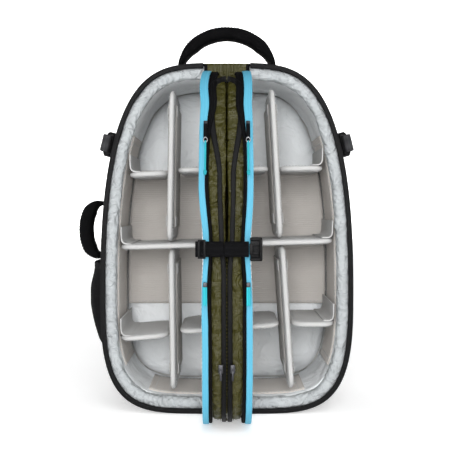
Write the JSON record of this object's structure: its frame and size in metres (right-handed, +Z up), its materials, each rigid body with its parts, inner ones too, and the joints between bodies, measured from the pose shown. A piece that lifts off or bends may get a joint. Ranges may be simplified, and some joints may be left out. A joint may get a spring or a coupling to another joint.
{
  "type": "camera backpack",
  "caption": "Upright camera backpack with two hinged front half lids, padded dividers inside, carrying handles and a shoulder harness.",
  "frame": {"origin": "middle of the flat underside that the bag stands on", "axes": "+Z up, the opening and its half lids face -Y, the harness faces +Y, +X is to the right seen from the front"},
  "size_m": [0.405, 0.3895, 0.578],
  "materials": {
    "black_nylon": "woven nylon, matt",
    "black_webbing": "ribbed webbing, matt",
    "black_plastic": "moulded, fine grain",
    "lining_grey": "smooth nylon lining, gathered",
    "loop_beige": "brushed loop fabric, matt",
    "divider_grey": "padded divider cloth, matt",
    "olive_nylon": "crinkled ripstop nylon, slight sheen",
    "zip_blue": "woven zip tape, matt",
    "cord_blue": "twisted cord",
    "slider_metal": "dark, satin",
    "sheet_white": "plain sheet"
  },
  "bodies": {
    "shell": {"shell_wall": "black_nylon", "back_panel": "black_nylon", "frame_sheet": "sheet_white", "lining_wall": "loop_beige", "back_lining": "loop_beige", "rim_roll": "lining_grey", "rim_zip_left": "black_webbing", "rim_zip_right": "black_webbing", "spine": "olive_nylon", "side_pocket": "black_nylon", "compression_strap_left": "black_webbing", "compression_strap_right": "black_webbing", "compression_buckle_left": "black_plastic", "compression_buckle_right": "black_plastic", "long_divider": "divider_grey", "shoulder_strap_left": "black_nylon", "shoulder_strap_right": "black_nylon", "strap_adjuster_left": "black_plastic", "strap_adjuster_right": "black_plastic", "lower_webbing_left": "black_webbing", "lower_webbing_right": "black_webbing", "lumbar_pad": "black_nylon", "back_pad": "black_nylon"},
    "wing_left": {"wing_panel_left": "lining_grey", "wing_pocket_left": "olive_nylon", "wing_zip_left": "zip_blue", "pocket_zip_left": "black_webbing", "strap_anchor": "black_webbing"},
    "wing_right": {"wing_panel_right": "lining_grey", "wing_pocket_right": "olive_nylon", "wing_zip_right": "zip_blue", "pocket_zip_right": "black_webbing", "buckle_cradle": "black_plastic"},
    "clasp_strap": {"hold_strap": "black_webbing", "buckle_tongue": "black_plastic"},
    "slider_upper_left": {"zip_slider_upper_left": "slider_metal"},
    "pull_upper_left": {"zip_pull_upper_left": "black_webbing", "pull_cord_left": "cord_blue"},
    "slider_lower_left": {"zip_slider_lower_left": "slider_metal"},
    "pull_lower_left": {"zip_pull_lower_left": "black_webbing"},
    "pocket_slider_left": {"pocket_slider_left": "slider_metal"},
    "slider_upper_right": {"zip_slider_upper_right": "slider_metal"},
    "pull_upper_right": {"zip_pull_upper_right": "black_webbing", "pull_cord_right": "cord_blue"},
    "slider_lower_right": {"zip_slider_lower_right": "slider_metal"},
    "pull_lower_right": {"zip_pull_lower_right": "black_webbing"},
    "pocket_slider_right": {"pocket_slider_right": "slider_metal"},
    "top_grip": {"top_handle": "black_webbing"},
    "side_grip": {"side_handle": "black_webbing"},
    "divider_upper_left": {"divider_upper_left": "divider_grey"},
    "divider_upper_right": {"divider_upper_right": "divider_grey"},
    "divider_lower_left": {"divider_lower_left": "divider_grey"},
    "divider_lower_right": {"divider_lower_right": "divider_grey"},
    "shelf_upper_left": {"shelf_upper_left": "divider_grey"},
    "shelf_upper_right": {"shelf_upper_right": "divider_grey"},
    "shelf_lower_left": {"shelf_lower_left": "divider_grey"},
    "shelf_lower_right": {"shelf_lower_right": "divider_grey"},
    "shelf_upper_middle": {"shelf_upper_middle": "divider_grey"},
    "shelf_lower_middle": {"shelf_lower_middle": "divider_grey"},
    "sternum": {"sternum_strap": "black_webbing"}
  },
  "joints": [
    {"name": "wing_hinge_left", "type": "hinge", "parent": "shell", "child": "wing_left", "pos_m": [-0.0325, -0.0905, 0.25], "axis": [0, 0, 1], "range_deg": [-90, 0]},
    {"name": "wing_hinge_right", "type": "hinge", "parent": "shell", "child": "wing_right", "pos_m": [0.0325, -0.0905, 0.25], "axis": [0, 0, -1], "range_deg": [-90, 0]},
    {"name": "clasp_strap_fold", "type": "hinge", "parent": "wing_left", "child": "clasp_strap", "pos_m": [-0.0035, -0.2448, 0.2465], "axis": [0, 0, -1], "range_deg": [0, 175]},
    {"name": "zip_travel_upper_left", "type": "slide", "parent": "wing_left", "child": "slider_upper_left", "axis": [0, -0.3426, -0.9395], "range_m": [0, 0.05]},
    {"name": "pull_flip_upper_left", "type": "hinge", "parent": "slider_upper_left", "child": "pull_upper_left", "pos_m": [-0.027, -0.21229, 0.40461], "axis": [-1, 0, 0], "range_deg": [0, 170]},
    {"name": "zip_travel_lower_left", "type": "slide", "parent": "wing_left", "child": "slider_lower_left", "axis": [0, 0, -1], "range_m": [0, 0.09]},
    {"name": "pull_flip_lower_left", "type": "hinge", "parent": "slider_lower_left", "child": "pull_lower_left", "pos_m": [-0.027, -0.2382, 0.1995], "axis": [-1, 0, 0], "range_deg": [0, 170]},
    {"name": "pocket_zip_travel_left", "type": "slide", "parent": "wing_left", "child": "pocket_slider_left", "axis": [0, 0, 1], "range_m": [0, 0.11]},
    {"name": "zip_travel_upper_right", "type": "slide", "parent": "wing_right", "child": "slider_upper_right", "axis": [0, -0.3426, -0.9395], "range_m": [0, 0.05]},
    {"name": "pull_flip_upper_right", "type": "hinge", "parent": "slider_upper_right", "child": "pull_upper_right", "pos_m": [0.027, -0.21229, 0.40461], "axis": [-1, 0, 0], "range_deg": [0, 170]},
    {"name": "zip_travel_lower_right", "type": "slide", "parent": "wing_right", "child": "slider_lower_right", "axis": [0, 0, -1], "range_m": [0, 0.09]},
    {"name": "pull_flip_lower_right", "type": "hinge", "parent": "slider_lower_right", "child": "pull_lower_right", "pos_m": [0.027, -0.2382, 0.1995], "axis": [-1, 0, 0], "range_deg": [0, 170]},
    {"name": "pocket_zip_travel_right", "type": "slide", "parent": "wing_right", "child": "pocket_slider_right", "axis": [0, 0, 1], "range_m": [0, 0.11]},
    {"name": "top_handle_flex", "type": "hinge", "parent": "shell", "child": "top_grip", "pos_m": [0, 0.02, 0.5085], "axis": [1, 0, 0], "range_deg": [-60, 60], "stiffness_Nm_per_rad": 0.4},
    {"name": "side_handle_flex", "type": "hinge", "parent": "shell", "child": "side_grip", "pos_m": [-0.1875, -0.02, 0.264], "axis": [0, 0, 1], "range_deg": [-60, 60], "stiffness_Nm_per_rad": 0.3},
    {"name": "divider_upper_left_pull_out", "type": "slide", "parent": "shell", "child": "divider_upper_left", "axis": [0, -1, 0], "range_m": [0, 0.17]},
    {"name": "divider_upper_right_pull_out", "type": "slide", "parent": "shell", "child": "divider_upper_right", "axis": [0, -1, 0], "range_m": [0, 0.17]},
    {"name": "divider_lower_left_pull_out", "type": "slide", "parent": "shell", "child": "divider_lower_left", "axis": [0, -1, 0], "range_m": [0, 0.17]},
    {"name": "divider_lower_right_pull_out", "type": "slide", "parent": "shell", "child": "divider_lower_right", "axis": [0, -1, 0], "range_m": [0, 0.17]},
    {"name": "shelf_upper_left_pull_out", "type": "slide", "parent": "shell", "child": "shelf_upper_left", "axis": [0, -1, 0], "range_m": [0, 0.17]},
    {"name": "shelf_upper_right_pull_out", "type": "slide", "parent": "shell", "child": "shelf_upper_right", "axis": [0, -1, 0], "range_m": [0, 0.17]},
    {"name": "shelf_lower_left_pull_out", "type": "slide", "parent": "shell", "child": "shelf_lower_left", "axis": [0, -1, 0], "range_m": [0, 0.17]},
    {"name": "shelf_lower_right_pull_out", "type": "slide", "parent": "shell", "child": "shelf_lower_right", "axis": [0, -1, 0], "range_m": [0, 0.17]},
    {"name": "shelf_upper_middle_height", "type": "slide", "parent": "shell", "child": "shelf_upper_middle", "axis": [0, 0, 1], "range_m": [-0.03, 0.03]},
    {"name": "shelf_lower_middle_height", "type": "slide", "parent": "shell", "child": "shelf_lower_middle", "axis": [0, 0, 1], "range_m": [-0.03, 0.03]},
    {"name": "sternum_height", "type": "slide", "parent": "shell", "child": "sternum", "axis": [0, 0, 1], "range_m": [-0.03, 0.03]}
  ]
}
